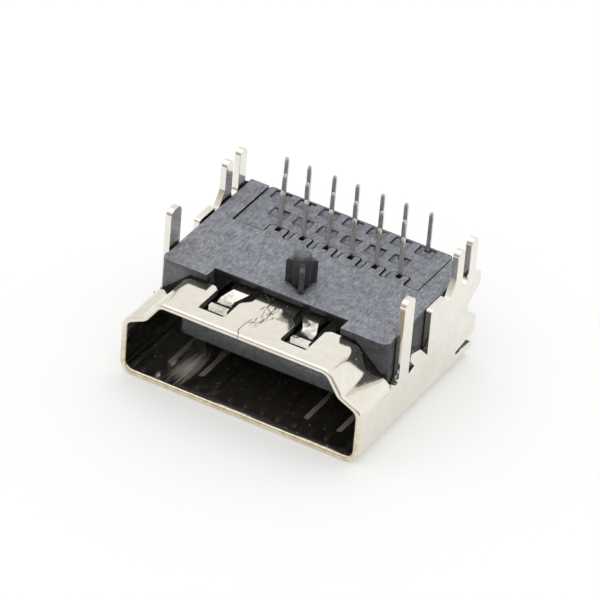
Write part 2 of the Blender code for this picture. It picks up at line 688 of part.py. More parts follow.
def build_housing():
    half = HOUSING_HALF
    section = fillet([
        (-half, SHEET + FIT, WIDE_CORNER_R), (half, SHEET + FIT, WIDE_CORNER_R),
        (half, HOUSING_TOP, HOUSING_EDGE_R), (-half, HOUSING_TOP, HOUSING_EDGE_R)])
    housing = prism("housing", section, "XZ", at(BODY_DEPTH), at(HOUSING_END + PAST), PARTS)
    side = HOUSING_END - REAR_CORNER_LENGTH
    end = half - REAR_CORNER_X
    corners = [(half + PAST, -PAST, 0), (half + PAST, side, 0), (half, side, REAR_CORNER_R),
               (end, HOUSING_END, REAR_CORNER_R), (-half - PAST, HOUSING_END, 0), (-half - PAST, -PAST, 0)]
    plan = [(x, at(depth)) for x, depth in fillet(corners)]
    combine(housing, prism("housing_plan", plan, "XY", -PAST, HOUSING_TOP + PAST), "INTERSECT")

    mouth = mouth_outline()
    combine(housing, prism("cavity", mouth, "XZ", MOUTH_Y, at(CAVITY_DEPTH)), "DIFFERENCE")
    combine(housing, build_lobes(), "UNION")
    recess = [
        box("recess", (-LOBE_INNER, LOBE_INNER), (MOUTH_Y, at(RECESS_DEPTH)), (NARROW_INSIDE - PAST, HOUSING_TOP + PAST)),
        box("strip_way", (-STRIP_HALF - STRIP_ROOM, STRIP_HALF + STRIP_ROOM),
            (at(RECESS_DEPTH - FIT), at(CAVITY_DEPTH - STRIP_MARGIN + STRIP_END_ROOM)),
            (NARROW_INSIDE - FIT, HOUSING_TOP - PLATE_THICKNESS)),
    ]
    for cutter in recess:
        combine(housing, cutter, "DIFFERENCE")

    combine(housing, build_tongue(), "UNION")

    inner = SPACER_HALF - LEDGE
    rear = at(SPACER_END + PAST)
    ledge_height = SPACER_LOW - FIT
    combine(housing, box("chamber", (-inner, inner), (at(CHAMBER_DEPTH), rear), (CHAMBER_FLOOR, ledge_height + PAST)),
            "DIFFERENCE")
    wide = SPACER_HALF + SPACER_FIT
    combine(housing, box("spacer_bay", (-wide, wide), (at(CHAMBER_DEPTH), rear), (ledge_height, HOUSING_TOP + PAST)),
            "DIFFERENCE")
    combine(housing, blade_slots(), "DIFFERENCE")
    add_teeth(housing)
    add_post(housing)
    return housing


def build_tongue():
    """The tongue that carries the blades, rounded in plan, with a lead-in at its front."""
    rear = CAVITY_DEPTH + STRIP_END_ROOM
    profile = [(TONGUE_DEPTH, TONGUE_LOW + TONGUE_EDGE), (TONGUE_DEPTH + TONGUE_EDGE, TONGUE_LOW),
               (rear, TONGUE_LOW), (rear, TONGUE_TOP), (TONGUE_DEPTH + TONGUE_LEAD, TONGUE_TOP),
               (TONGUE_DEPTH, TONGUE_TOP - TONGUE_LEAD)]
    profile = [(at(depth), z) for depth, z in profile]
    tongue = prism("tongue", profile, "YZ", -TONGUE_HALF, TONGUE_HALF)
    corners = [(-TONGUE_HALF, TONGUE_DEPTH, TONGUE_R), (TONGUE_HALF, TONGUE_DEPTH, TONGUE_R),
               (TONGUE_HALF, rear + PAST, 0), (-TONGUE_HALF, rear + PAST, 0)]
    plan = [(x, at(depth)) for x, depth in fillet(corners)]
    return combine(tongue, prism("tongue_plan", plan, "XY", TONGUE_LOW - PAST, TONGUE_TOP + PAST), "INTERSECT")


def build_lobes():
    """The two lobes that reach forward over the ring's shoulders."""
    half = HOUSING_HALF
    right = [(LOBE_INNER, HOUSING_TOP), (LOBE_INNER, LOBE_INNER_HEIGHT), (LOBE_SLANT_X, LOBE_INNER_HEIGHT),
             (LOBE_OUTER_X, LOBE_OUTER_HEIGHT), (half, LOBE_OUTER_HEIGHT), (half, HOUSING_TOP)]
    rear = at(LOBE_DEPTH + LOBE_LENGTH)
    lobes = merged("lobes", [prism("lobe", side, "XZ", at(LOBE_DEPTH), rear) for side in (right, mirrored(right))])
    corners = [(-half, LOBE_DEPTH, LOBE_CORNER_R), (half, LOBE_DEPTH, LOBE_CORNER_R),
               (half, CAVITY_DEPTH, 0), (-half, CAVITY_DEPTH, 0)]
    plan = [(x, at(depth)) for x, depth in fillet(corners)]
    return combine(lobes, prism("lobe_plan", plan, "XY", TONGUE_TOP, HOUSING_TOP + PAST), "INTERSECT")


def add_teeth(housing):
    """Teeth that reach between the spacer's notches and guide the front row."""
    combine(housing, prism("teeth", comb_outline(), "XY", SPACER_LOW, HOUSING_TOP), "UNION")
    holes = tail_holes("tooth_hole", (0,), TOOTH_HOLE / 2 + BLADE_FIT, TOOTH_LENGTH, CHAMBER_FLOOR + PAST,
                       HOUSING_TOP + PAST)
    combine(housing, holes, "DIFFERENCE")


def add_post(housing):
    """Locating post: a round pin with a domed head and flat ribs about it."""
    form = bmesh.new()
    bmesh.ops.create_cone(form, cap_ends=True, segments=POST_STEPS, radius1=POST_R, radius2=POST_R,
                          depth=POST_HEIGHT + FIT)
    mesh = bpy.data.meshes.new("post")
    form.to_mesh(mesh)
    form.free()
    mesh.transform(Matrix.Translation((0, 0, HOUSING_TOP + (POST_HEIGHT - FIT) / 2)))
    post = mesh_object("post", mesh, CUTTERS)
    head = post.modifiers.new("head", "BEVEL")
    head.width = POST_DOME
    head.segments = DOME_STEPS
    head.limit_method = "ANGLE"
    low = HOUSING_TOP - FIT
    top = HOUSING_TOP + RIB_HEIGHT
    outline = [(0, low), (RIB_REACH, low), (RIB_REACH, top - RIB_SLANT), (RIB_REACH - RIB_SLANT, top), (0, top)]
    place = Matrix.Translation((POST_X, at(POST_DEPTH), 0))
    for turn in RIB_TURNS:
        rib = prism("post_rib", outline, "XZ", -RIB_WIDTH / 2, RIB_WIDTH / 2)
        rib.data.transform(place @ Matrix.Rotation(math.radians(turn), 4, "Z"))
        combine(post, rib, "UNION")
    mesh.transform(place)
    combine(housing, post, "UNION")


def build_spacer():
    """The tail spacer: a plate with notches for the teeth, holes and shallow pockets."""
    corners = [(-SPACER_HALF, CHAMBER_DEPTH, 0), (SPACER_HALF, CHAMBER_DEPTH, 0),
               (SPACER_HALF, SPACER_END, SPACER_R), (-SPACER_HALF, SPACER_END, SPACER_R)]
    plan = [(x, at(depth)) for x, depth in fillet(corners)]
    spacer = prism("tail_spacer", plan, "XY", SPACER_LOW, SPACER_TOP, PARTS)
    notches = prism("notches", comb_outline(SPACER_FIT), "XY", SPACER_LOW - PAST, SPACER_TOP + PAST)
    combine(spacer, notches, "DIFFERENCE")
    reach = BLADE_THICKNESS / 2 + BLADE_FIT
    combine(spacer, tail_holes("tail_hole", (1, 2), reach, reach, SPACER_LOW - PAST, SPACER_TOP + PAST), "DIFFERENCE")
    pockets = []
    for number in range(1, CONTACTS + 1):
        if contact_row(number):
            _, tail, depth, _ = contact_places(number)
            pocket_rear = at(depth + POCKET_BEHIND)
            pockets.append(box("pocket", (tail - POCKET_HALF, tail + POCKET_HALF),
                               (pocket_rear - POCKET_LENGTH, pocket_rear), (SPACER_TOP - POCKET_DEPTH, SPACER_TOP + PAST)))
    combine(spacer, merged("pockets", pockets), "DIFFERENCE")
    return spacer


clear_scene()
PARTS = new_collection("board_socket")
CUTTERS = new_collection("cutters")

finish(build_shell(), "nickel_sheet", (0.72, 0.69, 0.63), 1.0, 0.18)
finish(build_housing(), "dark_plastic", (0.035, 0.038, 0.045), 0.0, 0.5)
finish(build_spacer(), "spacer_plastic", (0.032, 0.035, 0.042), 0.0, 0.5)
for contact_number in range(1, CONTACTS + 1):
    finish(build_contact(contact_number), "contact_metal", (0.55, 0.53, 0.5), 1.0, 0.3)
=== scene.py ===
import math

import bmesh
import bpy
import numpy as np
from mathutils import Matrix, Vector


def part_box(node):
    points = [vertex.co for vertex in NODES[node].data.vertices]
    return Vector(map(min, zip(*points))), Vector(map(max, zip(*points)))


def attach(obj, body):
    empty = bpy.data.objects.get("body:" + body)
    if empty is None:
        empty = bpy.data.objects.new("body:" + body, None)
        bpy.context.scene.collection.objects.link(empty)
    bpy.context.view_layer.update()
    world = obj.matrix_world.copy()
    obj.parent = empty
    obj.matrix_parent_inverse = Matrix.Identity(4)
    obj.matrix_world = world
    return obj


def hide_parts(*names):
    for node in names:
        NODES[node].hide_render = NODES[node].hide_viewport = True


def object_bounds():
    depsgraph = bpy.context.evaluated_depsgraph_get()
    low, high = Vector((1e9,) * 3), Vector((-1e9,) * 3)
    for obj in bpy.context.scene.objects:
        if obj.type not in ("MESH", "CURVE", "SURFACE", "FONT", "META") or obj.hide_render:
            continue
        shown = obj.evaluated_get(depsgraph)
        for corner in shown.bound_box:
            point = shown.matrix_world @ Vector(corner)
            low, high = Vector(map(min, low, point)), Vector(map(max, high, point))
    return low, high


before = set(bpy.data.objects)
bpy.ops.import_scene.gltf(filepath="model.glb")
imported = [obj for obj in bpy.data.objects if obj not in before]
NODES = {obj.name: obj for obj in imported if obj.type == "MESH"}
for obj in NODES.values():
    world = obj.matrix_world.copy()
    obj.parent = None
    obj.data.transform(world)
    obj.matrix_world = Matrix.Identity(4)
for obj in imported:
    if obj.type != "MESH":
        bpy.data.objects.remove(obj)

# Looks of a board socket: nickel shell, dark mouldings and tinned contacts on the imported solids
MM = 0.001
CAD_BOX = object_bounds()

# Photograph's view, fitted to the mouth, the legs and the rows of tails
CAMERA_AZIMUTH = math.radians(27.708)
CAMERA_ELEVATION = math.radians(35.068)
CAMERA_ROLL = math.radians(4.824)
CAMERA_DISTANCE = 303.9 * MM
CAMERA_TARGET = Vector((0, -0.32 * MM, 3.0 * MM))
CAMERA_LENS = 341.7
CAMERA_SENSOR = 36
CAMERA_SHIFT = (0.00465, 0.0311)
CAMERA_CLIP = (0.01, 10)

# Lamp over the socket
KEY_PLACE = (-0.06, 0.0, 0.42)
KEY_SIZE = 0.5
KEY_POWER = 0.3

# White room: its colours low down, half-way up and overhead, to the right, and on the camera's side
ROOM_LOW = (0.86, 0.85, 0.83)
ROOM_MIDDLE = (0.97, 0.955, 0.92)
ROOM_HIGH = (1.02, 1.01, 1.0)
ROOM_RIGHT = (1.05, 1.04, 1.02)
ROOM_FRONT = (0.42, 0.37, 0.29)

# Floor, which glows a little except where it shows through the wide face's slots, and is grey there as
# painted shade under the socket
FLOOR_REACH = 0.6
FLOOR_GAP = 0.01 * MM
FLOOR_ROUGHNESS = 0.9
FLOOR_GLOW = 0.25
FLOOR_WHITE = (0.97, 0.985, 1.0)
FLOOR_GREY = (0.55, 0.55, 0.55)
SLOTTED_REACH = 5.7 * MM

# Contacts; a tip's rings have places along it, and shares of the width and the thickness
CONTACTS = 19
CONTACT_PITCH = 0.5 * MM
TAIL_SHIFT = 0.25 * MM
BLADE_THICKNESS = 0.18 * MM
BLADE_HALF = 0.125 * MM
NOSE_LENGTH = 0.1 * MM
NOSE_WIDTH = 0.7
NOSE_DEPTH = 0.6
BEND_R = 0.3 * MM
JOG_START = 3.6 * MM
JOG_END = 4.1 * MM
TAIL_LEAN = 0.05 * MM
LEAN_TURN = 7.3
TIP_LENGTH = 0.34 * MM
TIP_PLACES = np.array([0.0, 0.5, 0.85, 1.0])
TIP_WIDTHS = np.array([1.0, 0.93, 0.72, 0.3])
TIP_DEPTHS = np.array([1.0, 0.95, 0.75, 0.35])
CURVE_RINGS = 9
STRIP_SIDES = 16
STRIP_SMOOTH = 50

# Foot behind the side slit, measured from the housing's right side, its rear and its lowest face
FOOT_WIDTH = 1.6 * MM
FOOT_DEPTH = 1.75 * MM
FOOT_HEIGHT = 1.9 * MM
FOOT_SIDE_GAP = 0.02 * MM
FOOT_REAR_GAP = 0.04 * MM
FOOT_LOW_GAP = 0.02 * MM
FOOT_STEPS = 13
FOOT_SMOOTH = 40

# Angles in degrees below which the CAD surfaces shade smooth, and what their mesh is cleaned by
SHELL_SMOOTH = 30
MOULDING_SMOOTH = 32
WELD_DISTANCE = 1e-7
FLAT_ANGLE = math.radians(0.5)

# Patches in millimetres: middle, reach along X, Y and Z, and the share of the reach that is full
# The first patch is where a painted dark reflection lies on the top face beside the seam
DARK_REFLECTION = ((0.95, -3.4, 5.2), (0.5, 0.65, 0.6), 0.7)
SEAM_SCRATCHES = ((-0.05, -3.9, 5.2), (0.6, 1.35, 0.6), 0.7)
LEFT_FINGER = ((-2.5, -3.7, 4.85), (0.75, 1.4, 0.4), 0.7)
RIGHT_FINGER = ((2.5, -3.7, 4.85), (0.75, 1.4, 0.4), 0.7)
# Where painted shade lies along the side slit's lower edge
SLIT_SHADE = ((7.0, 5.4, 1.0), (0.31, 1.9, 0.8), 0.7)
WORN_PAD = ((-4.15, -4.25, 0.4), (0.75, 2.0, 0.6), 0.05)
MOUTH_INSIDE = ((0, -3.2, 2.4), (9, 4.5, 4), 0.7)
# Where painted light falls on the left lobe's front
LEFT_LOBE_LIGHT = ((-6.1, -1.5, 5.0), (2.2, 3.0, 1.4), 0.5)
POST = ((0.39, -0.99, 6.85), (1.25, 1.25, 1.5), 0.7)

# Nickel plate; a scale counts a pattern's cells in each metre
NICKEL_SCALE = 320.0
NICKEL = (0.88, 0.85, 0.79)
NICKEL_STAINED = (0.82, 0.785, 0.71)
NICKEL_CLOUD = (0.94, 0.94, 0.93)
# Painted dark reflection on the top face beside the seam
NICKEL_DARK_REFLECTION = (0.2, 0.18, 0.155)
NICKEL_SCRATCH = (0.3, 0.27, 0.23)
# Painted shade in the fingers' dents
NICKEL_DENT_SHADE = (0.5, 0.475, 0.44)
# Painted shade in the side slit
NICKEL_SLIT_SHADE = (0.07, 0.06, 0.06)
# How strongly the painted dark reflection covers the nickel
DARK_REFLECTION_STRENGTH = 0.7
SCRATCH_STRENGTH = 0.9
WORN_ROUGHNESS = 0.5
RIM_DEPTH = 0.14 * MM
RIM_WARM = (0.82, 0.73, 0.57)
RIM_PALE = (0.97, 0.91, 0.78)
INSIDE_DULLNESS = 0.024

# Mouldings: the edge tint is what a rounded edge multiplies the colour by: pale wear on the housing's
# edges, and painted shade in the gaps along the insert's outline
HOUSING = {"dark": (0.112, 0.119, 0.142), "pale": (0.262, 0.277, 0.316), "scale": 900.0, "edge_wear_and_shade": 1.3}
# The insert's dark edge tint is painted shade in the gaps along its outline
INSERT = {"dark": (0.104, 0.111, 0.134), "pale": (0.25, 0.264, 0.303), "scale": 1000.0, "edge_wear_and_shade": 0.15}
SPECK = (0.5, 0.52, 0.56)
SPECK_STRENGTH = 0.8
FIBRE_PALER = 1.9
FIBRE_STRENGTH = 0.42
POST_SHADE = (0.008, 0.009, 0.009)
# Painted shade on faces that look down and sideways, and painted light on the left lobe's front
SHADE_FACING_DOWN = (0.07, 0.07, 0.07)
SHADE_FACING_SIDEWAYS = (0.31, 0.335, 0.32)
# Painted light on the left lobe's front, and how strongly it covers the shade
PAINTED_LOBE_LIGHT = (1.0, 1.0, 0.95)
LOBE_LIGHT_STRENGTH = 0.8
EDGE_RADIUS = 0.12 * MM
CREVICE_REACH = 0.6 * MM

# Contact plating: gold at the blade's front, shaded further in, and tin from the blade's end on
CONTACT_SCALE = 900.0
TIN = (0.78, 0.76, 0.72)
TIN_DULL = (0.6, 0.58, 0.54)
GOLD = (0.75, 0.5, 0.22)
GOLD_SHADED = (0.16, 0.1, 0.045)
BLADE_END = 0.4 * MM
BLADE_REACH = 4.0 * MM

WHITE = (1.0, 1.0, 1.0)

# Scratch families: how the noise is turned, and where its peaks start and are full
MOULDING_SCRATCHES = ((0.5, 0.58, 0.7), (-0.4, 0.6, 0.72), (1.3, 0.6, 0.72), (2.2, 0.6, 0.72))
PLATE_SCRATCHES = ((0.9, 0.54, 0.6), (-0.5, 0.56, 0.62))
SCRATCH_STRETCH = 0.2
LINE_STRETCH = 0.05

# How many times finer than a group's scale its patterns are
MOULDING_FINENESS = {"mottle": 2.6, "scratches": 13.0, "specks": 4.0, "clusters": 2.3}
PLATE_FINENESS = {"lines": 30.0, "scratches": 22.0, "dust": 18.0, "clusters": 7.0}

# Ramps run from 0 to 1, so heights reach them in centimetres
PER_CENTIMETRE = 100.0

# Where a Mix node keeps its factor and two colours, and its result
MIX_INPUTS = (0, 6, 7)
MIX_RESULT = 2

# Kinds of a group's inputs and outputs
FLOAT = "NodeSocketFloat"
VECTOR = "NodeSocketVector"


# Node trees

def add(tree, kind, **values):
    """A shader node, with its properties and its unlinked inputs set."""
    made = tree.nodes.new(kind)
    for key, value in values.items():
        if hasattr(made, key):
            setattr(made, key, value)
        else:
            made.inputs[key.replace("_", " ")].default_value = value
    return made


def ramp(tree, source, stops):
    """A colour ramp of (place, grey or colour) stops, fed by a node's output."""
    made = tree.nodes.new("ShaderNodeValToRGB")
    elements = made.color_ramp.elements
    while len(elements) < len(stops):
        elements.new(0.5)
    for element, (place, colour) in zip(elements, stops):
        element.position = place
        element.color = (*colour, 1) if isinstance(colour, tuple) else (colour, colour, colour, 1)
    tree.links.new(source, made.inputs["Fac"])
    return made.outputs["Color"]


def mix_colour(tree, factor, first, second, blend="MIX"):
    """Two colours or outputs mixed by a number or an output."""
    made = tree.nodes.new("ShaderNodeMix")
    made.data_type = "RGBA"
    made.blend_type = blend
    for index, value in zip(MIX_INPUTS, (factor, first, second)):
        if isinstance(value, bpy.types.NodeSocket):
            tree.links.new(value, made.inputs[index])
        elif index:
            made.inputs[index].default_value = (*value, 1)
        else:
            made.inputs[index].default_value = value
    return made.outputs[MIX_RESULT]


def tinted(tree, colour, edge_wear_and_shade):
    """One colour multiplied by another."""
    return mix_colour(tree, 1.0, colour, edge_wear_and_shade, "MULTIPLY")


def math_node(tree, operation, first, second=0.0):
    """A sum, product or comparison of two numbers or outputs."""
    made = tree.nodes.new("ShaderNodeMath")
    made.operation = operation
    for index, value in enumerate((first, second)):
        if isinstance(value, bpy.types.NodeSocket):
            tree.links.new(value, made.inputs[index])
        else:
            made.inputs[index].default_value = value
    return made.outputs[0]


def product(tree, first, second):
    """Two numbers or outputs multiplied."""
    return math_node(tree, "MULTIPLY", first, second)


def either(tree, first, second):
    """The larger of two masks."""
    return math_node(tree, "MAXIMUM", first, second)


def vector_math(tree, operation, first, second=None):
    """A vector operation on one or two outputs; the caller takes its Vector or Value."""
    made = add(tree, "ShaderNodeVectorMath", operation=operation)
    tree.links.new(first, made.inputs[0])
    if second is not None:
        tree.links.new(second, made.inputs[1])
    return made.outputs


def split(tree, vector):
    """The X, Y and Z of a vector."""
    made = tree.nodes.new("ShaderNodeSeparateXYZ")
    tree.links.new(vector, made.inputs[0])
    return made.outputs["X"], made.outputs["Y"], made.outputs["Z"]


def split_place(tree):
    """The X, Y and Z of a point on the piece, in metres."""
    return split(tree, tree.nodes.new("ShaderNodeTexCoord").outputs["Object"])


def face_normal(tree):
    """The surface's own normal."""
    return tree.nodes.new("ShaderNodeNewGeometry").outputs["Normal"]


# Node groups

def group_tree(name, inputs, outputs):
    """An empty node group with float or vector inputs and float outputs."""
    tree = bpy.data.node_groups.new(name, "ShaderNodeTree")
    for label, kind, value in inputs:
        socket = tree.interface.new_socket(label, in_out="INPUT", socket_type=kind)
        if value is not None:
            socket.default_value = value
    for label in outputs:
        tree.interface.new_socket(label, in_out="OUTPUT", socket_type=FLOAT)
    return tree, tree.nodes.new("NodeGroupInput").outputs, tree.nodes.new("NodeGroupOutput").inputs


def place_group(tree, group, **values):
    """A node group in a material, read at Object coordinates; gives the node."""
    made = tree.nodes.new("ShaderNodeGroup")
    made.node_tree = group
    for key, value in values.items():
        made.inputs[key].default_value = value
    coordinates = tree.nodes.new("ShaderNodeTexCoord")
    tree.links.new(coordinates.outputs["Object"], made.inputs["Vector"])
    return made


def noise_at(tree, vector, scale, detail, roughness=0.5, distortion=0.0):
    """Noise of a scale, read at a vector."""
    made = add(tree, "ShaderNodeTexNoise", Detail=detail, Roughness=roughness, Distortion=distortion)
    tree.links.new(vector, made.inputs["Vector"])
    tree.links.new(scale, made.inputs["Scale"])
    return made.outputs["Fac"]


def stretched(tree, vector, stretch, turn=0.0):
    """A vector shortened along Y, so that noise on it runs in strokes, and then turned."""
    made = add(tree, "ShaderNodeMapping", Rotation=(0.0, 0.0, turn), Scale=(1.0, stretch, 1.0))
    tree.links.new(vector, made.inputs["Vector"])
    return made.outputs["Vector"]


def short_scratches(tree, vector, scale, families):
    """Short strokes along Y: the peaks of stretched noise, in families that fall in other places."""
    marks = 0.0
    for turn, low, high in families:
        along = stretched(tree, vector, SCRATCH_STRETCH, turn)
        strokes = noise_at(tree, along, scale, detail=1.0, distortion=0.5)
        marks = either(tree, marks, ramp(tree, strokes, [(low, 0.0), (high, 1.0)]))
    return marks


def scattered_dots(tree, vector, dot_scale, dot_size, cluster_scale, cluster_level):
    """Dots at the points of a cell pattern, kept where a coarser noise is high."""
    cells = tree.nodes.new("ShaderNodeTexVoronoi")
    tree.links.new(vector, cells.inputs["Vector"])
    tree.links.new(dot_scale, cells.inputs["Scale"])
    near = math_node(tree, "LESS_THAN", cells.outputs["Distance"], dot_size)
    clusters = noise_at(tree, vector, cluster_scale, detail=1.0)
    return product(tree, near, math_node(tree, "GREATER_THAN", clusters, cluster_level))


def moulding_group():
    """Moulded skin: mottled grain, short scratches and pale specks."""
    tree, start, end = group_tree(
        "moulded_skin",
        [("Vector", VECTOR, None), ("Scale", FLOAT, 1000.0)],
        ["Mottle", "Scratches", "Specks"])
    vector = start["Vector"]
    fine = {name: product(tree, start["Scale"], times) for name, times in MOULDING_FINENESS.items()}
    mottle = noise_at(tree, vector, fine["mottle"], detail=7.0, roughness=0.74, distortion=0.4)
    tree.links.new(mottle, end["Mottle"])
    marks = short_scratches(tree, vector, fine["scratches"], MOULDING_SCRATCHES)
    tree.links.new(marks, end["Scratches"])
    specks = scattered_dots(tree, vector, dot_scale=fine["specks"], dot_size=0.2,
                            cluster_scale=fine["clusters"], cluster_level=0.64)
    tree.links.new(specks, end["Specks"])
    return tree


def plate_group():
    """Plated sheet: broad stains, clouding, rolled lines, dents, short scratches and dust."""
    tree, start, end = group_tree(
        "plated_sheet",
        [("Vector", VECTOR, None), ("Scale", FLOAT, 300.0)],
        ["Stain", "Cloud", "Lines", "Dents", "Scratches", "Dust"])
    vector = start["Vector"]
    fine = {name: product(tree, start["Scale"], times) for name, times in PLATE_FINENESS.items()}
    for label, times, detail in (("Stain", 1.0, 3.0), ("Cloud", 7.0, 4.0), ("Dents", 9.0, 2.0)):
        spots = noise_at(tree, vector, product(tree, start["Scale"], times), detail, roughness=0.55)
        tree.links.new(spots, end[label])
    along = stretched(tree, vector, LINE_STRETCH)
    tree.links.new(noise_at(tree, along, fine["lines"], detail=3.0), end["Lines"])
    marks = short_scratches(tree, vector, fine["scratches"], PLATE_SCRATCHES)
    tree.links.new(marks, end["Scratches"])
    dust = scattered_dots(tree, vector, dot_scale=fine["dust"], dot_size=0.15,
                          cluster_scale=fine["clusters"], cluster_level=0.6)
    tree.links.new(dust, end["Dust"])
    return tree


def patch_group():
    """Ragged patch: 1 near a middle, and 0 from one reach on, where noise is added to the distance.

    The distance is the length of (place - middle) / reach, so the reach may differ along X, Y and Z.
    """
    tree, start, end = group_tree(
        "ragged_patch",
        [("Vector", VECTOR, None), ("Middle", VECTOR, None), ("Reach", VECTOR, None),
         ("Noise", FLOAT, 0.0), ("Full", FLOAT, 0.7)],
        ["Mask"])
    moved = vector_math(tree, "SUBTRACT", start["Vector"], start["Middle"])
    scaled = vector_math(tree, "DIVIDE", moved["Vector"], start["Reach"])
    length = vector_math(tree, "LENGTH", scaled["Vector"])
    fade = add(tree, "ShaderNodeMapRange", To_Min=1.0, To_Max=0.0)
    tree.links.new(math_node(tree, "ADD", length["Value"], start["Noise"]), fade.inputs["Value"])
    tree.links.new(start["Full"], fade.inputs["From Min"])
    tree.links.new(fade.outputs["Result"], end["Mask"])
    return tree


def patch_mask(tree, patch, place, noise=None):
    """Mask of one patch: its middle, its reach and its full share, ragged where noise is given."""
    middle, reach, full = place
    made = place_group(tree, patch, Middle=Vector(middle) * MM, Reach=Vector(reach) * MM, Full=full)
    if noise is not None:
        tree.links.new(noise, made.inputs["Noise"])
    return made.outputs["Mask"]


# Materials

def new_material(name, metallic, ior=1.5):
    """A plain material; gives it, its node tree and its shader."""
    material = bpy.data.materials.new(name)
    material.use_nodes = True
    tree = material.node_tree
    shader = tree.nodes["Principled BSDF"]
    shader.inputs["Metallic"].default_value = metallic
    shader.inputs["IOR"].default_value = ior
    return material, tree, shader


def soft_edge_bump(tree, shader, height, strength, distance, radius):
    """Normal of a finely rounded edge with a bump over it."""
    edge = add(tree, "ShaderNodeBevel", samples=6, Radius=radius)
    bump = add(tree, "ShaderNodeBump", Strength=strength, Distance=distance)
    tree.links.new(edge.outputs["Normal"], bump.inputs["Normal"])
    tree.links.new(height, bump.inputs["Height"])
    tree.links.new(bump.outputs["Normal"], shader.inputs["Normal"])


def nickel_colour(tree, finish):
    """Warm nickel, duller in broad stains and small clouds."""
    stains = ramp(tree, finish["Stain"], [(0.35, 0.0), (0.75, 1.0)])
    clouds = ramp(tree, finish["Cloud"], [(0.3, NICKEL_CLOUD), (0.65, WHITE)])
    return tinted(tree, mix_colour(tree, stains, NICKEL, NICKEL_STAINED), clouds)


def scratches_and_painted_shade(tree, colour, finish, dark_reflection, scratches, crumpled):
    """Nickel with a painted dark reflection beside the seam, darkened by the scratches at the seam, and
    with painted shade in the fingers' dents.
    """
    # Painted dark reflection beside the seam
    colour = mix_colour(tree, product(tree, dark_reflection, DARK_REFLECTION_STRENGTH), colour, NICKEL_DARK_REFLECTION)
    colour = mix_colour(tree, product(tree, scratches, SCRATCH_STRENGTH), colour, NICKEL_SCRATCH)
    # Painted shade in the fingers' dents
    dent_shade = product(tree, crumpled, ramp(tree, finish["Dents"], [(0.4, 1.0), (0.6, 0.3)]))
    return mix_colour(tree, dent_shade, colour, NICKEL_DENT_SHADE)


def painted_slit_shade(tree, patch, colour):
    """Nickel with painted shade on the side slit's lower edge, where it faces up."""
    upward = math_node(tree, "GREATER_THAN", split(tree, face_normal(tree))[2], 0.5)
    # Painted shade on the slit's upward edge
    return mix_colour(tree, product(tree, patch_mask(tree, patch, SLIT_SHADE), upward), colour, NICKEL_SLIT_SHADE)


def rim_colour(tree, finish, colour):
    """Nickel with the mouth's rim warm and speckled, most of all in its low part."""
    _, y, z = split_place(tree)
    rim = math_node(tree, "LESS_THAN", y, CAD_BOX[0].y + RIM_DEPTH)
    low_part = ramp(tree, product(tree, z, PER_CENTIMETRE), [(0.12, 0.9), (0.4, 0.15)])
    speckled = ramp(tree, finish["Dents"], [(0.42, RIM_WARM), (0.55, RIM_PALE)])
    return mix_colour(tree, product(tree, rim, low_part), colour, tinted(tree, colour, speckled))


def nickel_material(plate, patch):
    """Bright nickel plate, warm, with stains, scratches of handling, a painted dark reflection, painted
    shade in dents and the slit, and a faint drawn grain.
    """
    material, tree, shader = new_material("nickel_plate", metallic=1.0)
    finish = place_group(tree, plate, Scale=NICKEL_SCALE).outputs
    ragged = product(tree, math_node(tree, "SUBTRACT", finish["Cloud"], 0.5), 1.5)
    # Where the painted dark reflection lies beside the seam
    dark_reflection = patch_mask(tree, patch, DARK_REFLECTION, ragged)
    scratches = product(tree, patch_mask(tree, patch, SEAM_SCRATCHES, ragged), finish["Scratches"])
    fingers = [patch_mask(tree, patch, finger, ragged) for finger in (LEFT_FINGER, RIGHT_FINGER)]
    crumpled = either(tree, *fingers)

    colour = nickel_colour(tree, finish)
    colour = scratches_and_painted_shade(tree, colour, finish, dark_reflection, scratches, crumpled)
    colour = painted_slit_shade(tree, patch, colour)
    colour = rim_colour(tree, finish, colour)
    tree.links.new(colour, shader.inputs["Base Color"])

    strokes = product(tree, math_node(tree, "SUBTRACT", finish["Lines"], 0.5), 1.4)
    brushed = patch_mask(tree, patch, WORN_PAD, strokes)
    dull = product(tree, either(tree, brushed, finish["Dust"]), WORN_ROUGHNESS)
    polish = ramp(tree, finish["Cloud"], [(0.3, 0.07), (0.7, 0.15)])
    tree.links.new(math_node(tree, "ADD", polish, dull), shader.inputs["Roughness"])
    inside = product(tree, patch_mask(tree, patch, MOUTH_INSIDE), INSIDE_DULLNESS)
    metal = math_node(tree, "SUBTRACT", 1.0, either(tree, dull, inside))
    tree.links.new(metal, shader.inputs["Metallic"])

    dents = product(tree, finish["Dents"], crumpled)
    height = math_node(tree, "ADD", product(tree, finish["Lines"], 0.15), dents)
    height = math_node(tree, "ADD", height, product(tree, scratches, 0.5))
    soft_edge_bump(tree, shader, height, strength=0.6, distance=0.02 * MM, radius=0.035 * MM)
    return material


def moulded_colour(tree, finish, dark, pale):
    """Mottled between two colours, with pale scratches and paler specks."""
    colour = ramp(tree, finish["Mottle"], [(0.34, dark), (0.66, pale)])
    fibre = tuple(min(FIBRE_PALER * part, 1.0) for part in pale)
    colour = mix_colour(tree, product(tree, finish["Scratches"], FIBRE_STRENGTH), colour, fibre)
    return mix_colour(tree, product(tree, finish["Specks"], SPECK_STRENGTH), colour, SPECK)


